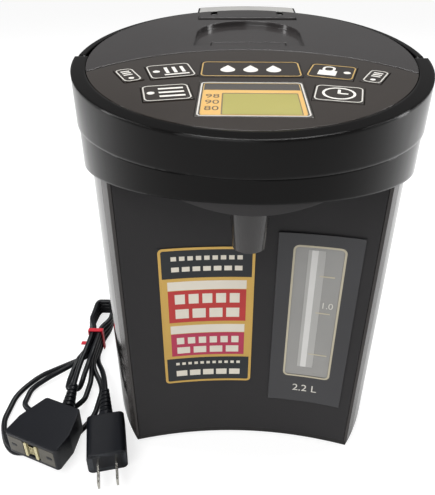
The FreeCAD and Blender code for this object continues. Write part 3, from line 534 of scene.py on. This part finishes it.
# The cord's route, in mm, from the mains plug through the hank to the magnet plug.
# Its stops are those of the part, which joins them with arcs. Here one smooth curve passes through them.
# Above the tie a turn goes right, far and left. Below it, a loop is where it leaves, its left, low and right
# stops and the way it leaves.
cord = {
    "radius": 2.2, "layer": 5.4, "clear": 0.1, "tie": (-133.4, 20.0), "column": 3.2, "turns": 4,
    "upper": {"right": 6, "left": 12, "side": 30, "far": 54, "farLeft": 3}, "cross": 18, "reach": 0.3,
    "loops": [
        ((-163.0, -12.0, 2.4), (-187.0, -58.0, 2.4), (-157.0, -99.0, 2.4), (-116.5, -48.0, 2.4),
         (-0.8, -0.6)),
        ((-157.0, -17.0, 5.4), (-177.0, -46.0, 2.4), (-154.0, -64.0, 2.4), (-127.0, -42.0, 7.0),
         (-0.7, -0.7)),
        ((-141.5, -3.0, 11.5), (-147.0, -22.0, 4.0), (-140.0, -38.0, 5.5), (-131.5, -26.0, 15.2),
         (-0.3, -0.95)),
    ],
    "length": 1.247,  # in metres, as stated for the cord; the curve itself measures 1.2485
    "relief": 26.0, "reliefGap": 2.5, "reliefTurn": 5.0,
}
# A plug's face is x and y of its front face's middle, and middle is how high that is.
# The mains plug's length includes its neck.
magnetPlug = {"face": (-149.0, -108.0), "middle": 16.0, "turn": -21.0, "long": 38.0}
mainsPlug = {"face": (-95.0, -110.0), "middle": 9.5, "turn": 14.0, "long": 43.0}


def aim(turn):
    angle = math.radians(turn)
    return Vector((math.sin(angle), -math.cos(angle), 0))


def cordEnds():
    relief, gap = cord["relief"], cord["reliefGap"]
    face = Vector((*magnetPlug["face"], magnetPlug["middle"]))
    back = face - aim(magnetPlug["turn"]) * (magnetPlug["long"] + gap)
    magnet = back - aim(cord["reliefTurn"]) * relief
    front = Vector((*mainsPlug["face"], mainsPlug["middle"]))
    return front - aim(mainsPlug["turn"]) * (mainsPlug["long"] + relief), magnet


# Each stop of the route has a place and a direction. The curve gets a point on either side of it.
def cordPoints():
    mains, magnet = cordEnds()
    (tieX, tieY), column, upper = cord["tie"], cord["column"], cord["upper"]
    stops = [(mains, -aim(mainsPlug["turn"]))]
    for turn in range(cord["turns"]):
        z = cord["radius"] + cord["clear"] + turn * cord["layer"]
        side = tieY + upper["side"] - turn
        far = tieY + upper["far"] - 2 * turn
        stops += [(Vector((tieX + column, tieY, z)), Vector((0, 1, 0))),
                  (Vector((tieX + upper["right"] + turn, side, z)), Vector((0, 1, 0))),
                  (Vector((tieX - upper["farLeft"], far, z)), Vector((-1, 0, 0))),
                  (Vector((tieX - upper["left"] + turn, side, z)), Vector((0, -1, 0))),
                  (Vector((tieX - column, tieY, z)), Vector((0, -1, 0)))]
        if turn < len(cord["loops"]):
            leave, left, low, right, way = cord["loops"][turn]
            stops += [(Vector(leave), Vector((*way, 0))), (Vector(left), Vector((0, -1, 0))),
                      (Vector(low), Vector((1, 0, 0))), (Vector(right), Vector((0, 1, 0))),
                      (Vector((tieX + column, tieY - cord["cross"], z + cord["layer"])), Vector((0, 1, 0)))]
    stops.append((magnet, aim(cord["reliefTurn"])))
    points = [stops[0][0]]
    for (start, way), (end, last) in zip(stops, stops[1:]):
        reach = cord["reach"] * (end - start).length
        points += [start + way.normalized() * reach, end - last.normalized() * reach, end]
    return points


def buildCord():
    curve = bpy.data.curves.new("power_cord", "CURVE")
    curve.dimensions = "3D"
    spline = curve.splines.new("NURBS")
    points = cordPoints()
    spline.points.add(len(points) - 1)
    for target, point in zip(spline.points, points):
        target.co = (*(point * mm), 1)
    spline.order_u = 3
    spline.use_endpoint_u = True
    spline.resolution_u = 6
    curve.bevel_depth = cord["radius"] * mm
    curve.bevel_resolution = 4
    obj = bpy.data.objects.new("power_cord", curve)
    scene.collection.objects.link(obj)
    dress(obj, looks["cord_black"], "pot")
    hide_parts("cord_hank")
    tuple(cordEnds()[0] * mm)


# A light strip follows the grip's top, between the ovals of the handle's inner and outer faces.
# An oval is its half width, half length and the strip's margin from it.
grip = {"half": 38.5, "drop": -1.98, "height": 0.4, "steps": 26, "middle": -7, "front": -136,
        "ovals": ((103.5, 125, 1.2), (129, 143, -1.2))}


def buildGripCap():
    silver = finish("gripSilver", "a5a4a1", 0.35, scale=1500, depth=0.06, edge=0.3)
    place = onTop(0, 0, grip["drop"])
    steps = grip["steps"]
    verts, faces = [], []
    for i in range(steps + 1):
        x = -grip["half"] + 2 * grip["half"] * i / steps
        for halfX, halfY, margin in grip["ovals"]:
            y = grip["middle"] + halfY * math.sqrt(1 - (x / halfX) ** 2) + margin
            along = (y - grip["front"]) / math.cos(top["slope"])
            verts += [place @ Vector((x * mm, along * mm, lift * mm)) for lift in (0, grip["height"])]
    for i in range(steps):
        a, b = 4 * i, 4 * i + 4
        faces += [(a + 1, a + 3, b + 3, b + 1), (a, b, b + 2, a + 2)]
        faces += [(a, a + 1, b + 1, b), (a + 2, b + 2, b + 3, a + 3)]
    last = 4 * steps
    faces += [(0, 2, 3, 1), (last, last + 1, last + 3, last + 2)]
    dress(addMesh("grip_cap", verts, faces), silver, "handle")


# A plane on a plug's front face has x across, y up and its normal out of the face.
def facing(plug, lift):
    angle = math.radians(plug["turn"])
    out = aim(plug["turn"])
    across = Vector((math.cos(angle), math.sin(angle), 0))
    turned = Matrix((across, Vector((0, 0, 1)), out)).transposed().to_4x4()
    return Matrix.Translation((Vector((*plug["face"], plug["middle"])) + out * lift) * mm) @ turned


# On each side of the magnet plug's middle, a patch is width, length, corner, x, height and look.
plugFaces = {
    "face": (13, 14.5, 1.2, 13.5, 3.2, "grey"),
    "hole": (5, 2.6, 1.2, 15.5, 3.3, "plug_black"),
    "bar": (2.4, 13, 0.6, 4.6, 3.6, "contact_brass"),
}
plugFaceLift = -3
mainsBand = (27, 18, 3.5, 3.4)  # width, length, corner and line
mainsBandLift = -0.05


def buildPlugFaces():
    grey = finish("plugFaceGrey", "57544c", 0.45, scale=1600, depth=0.12, edge=0.2)
    bandGrey = finish("plugBandGrey", "3d4046", 0.4, scale=1600, depth=0.12, edge=0.2)
    place = facing(magnetPlug, plugFaceLift)
    for side in (-1, 1):
        for name, (wide, tall, corner, across, height, look) in plugFaces.items():
            outline = shifted(roundedLoop(wide, tall, corner), side * across, 0)
            patch = printedPatch(f"magnet_{name}_{side + 1}", outline, place, height)
            dress(patch, looks.get(look, grey), "pot")
    ring = printedFrame("mains_band", *mainsBand, facing(mainsPlug, mainsBandLift))
    dress(ring, bandGrey, "pot")


# A lamp is its place, target, size, power and, for a strip, its other size, in metres and watts.
lamps = {
    "ceilingPanel": ((0.1, 0.9, 1.6), (0, 0, 0.2), 0.8, 16, None),
    "leftStrip": ((-1.1, 0.1, 0.8), (0, 0, 0.15), 0.18, 6, 1.3),
    "rightStrip": ((1.2, 0.2, 0.7), (0, 0, 0.15), 0.22, 8, 1.4),
    "frontSoft": ((-0.5, -1.4, 0.9), (0, 0, 0.1), 1.5, 10, None),
}
sun = {"power": 1.5, "spread": 40, "tilt": (32, -22)}
skyStrength = 0.16
floorTones = {"glow": 0.76, "seen": 0.36, "bounce": 0.75, "side": 6, "back": 8}


def areaLight(name, place, target, size, power, wide):
    data = bpy.data.lights.new(name, "AREA")
    data.energy = power
    data.size = size
    if wide:
        data.shape = "RECTANGLE"
        data.size_y = wide
    light = bpy.data.objects.new(name, data)
    scene.collection.objects.link(light)
    light.location = place
    light.rotation_euler = (Vector(target) - Vector(place)).to_track_quat("-Z", "Y").to_euler()


def background(nodes, strength):
    node = nodes.new("ShaderNodeBackground")
    node.inputs["Color"].default_value = (1, 1, 1, 1)
    node.inputs["Strength"].default_value = strength
    return node


def diffuse(nodes, level):
    node = nodes.new("ShaderNodeBsdfDiffuse")
    node.inputs["Color"].default_value = (level, level, level, 1)
    return node


# The camera sees a white world, and everything else gets the soft sky.
def buildWorld():
    world = bpy.data.worlds.new("plainWhite")
    scene.world = world
    world.use_nodes = True
    nodes, links = world.node_tree.nodes, world.node_tree.links
    nodes.clear()
    mix = nodes.new("ShaderNodeMixShader")
    links.new(nodes.new("ShaderNodeLightPath").outputs["Is Camera Ray"], mix.inputs[0])
    links.new(background(nodes, skyStrength).outputs[0], mix.inputs[1])
    links.new(background(nodes, 1.0).outputs[0], mix.inputs[2])
    links.new(mix.outputs[0], nodes.new("ShaderNodeOutputWorld").inputs[0])


# The camera sees a floor that glows nearly white and keeps a soft shadow. Other rays meet a plain pale one.
def buildFloor():
    material = bpy.data.materials.new("paleFloor")
    material.use_nodes = True
    nodes, links = material.node_tree.nodes, material.node_tree.links
    nodes.clear()
    mix = nodes.new("ShaderNodeMixShader")
    seen = nodes.new("ShaderNodeAddShader")
    glow = nodes.new("ShaderNodeEmission")
    glow.inputs["Strength"].default_value = floorTones["glow"]
    links.new(glow.outputs[0], seen.inputs[0])
    links.new(diffuse(nodes, floorTones["seen"]).outputs[0], seen.inputs[1])
    links.new(nodes.new("ShaderNodeLightPath").outputs["Is Camera Ray"], mix.inputs[0])
    links.new(diffuse(nodes, floorTones["bounce"]).outputs[0], mix.inputs[1])
    links.new(seen.outputs[0], mix.inputs[2])
    links.new(mix.outputs[0], nodes.new("ShaderNodeOutputMaterial").inputs[0])
    side, back = floorTones["side"], floorTones["back"]
    corners = [(-side, -side, 0), (side, -side, 0), (side, back, 0), (-side, back, 0)]
    floor = addMesh("floor", corners, [(0, 1, 2, 3)])
    floor.data.materials.append(material)


def lightScene():
    buildWorld()
    buildFloor()
    light = bpy.data.objects.new("softSun", bpy.data.lights.new("softSun", "SUN"))
    light.data.energy = sun["power"]
    light.data.angle = math.radians(sun["spread"])
    light.rotation_euler = (*[math.radians(tilt) for tilt in sun["tilt"]], 0)
    scene.collection.objects.link(light)
    for name, lamp in lamps.items():
        areaLight(name, *lamp)


aimCamera()
buildCord()
print("stage: camera and cord")
dressFrame()
buildKeys()
print("stage: keys")
buildDisplay()
buildLabel()
buildGauge()
buildGripCap()
buildPlugFaces()
print("stage: prints")
lightScene()
print("stage: lights")
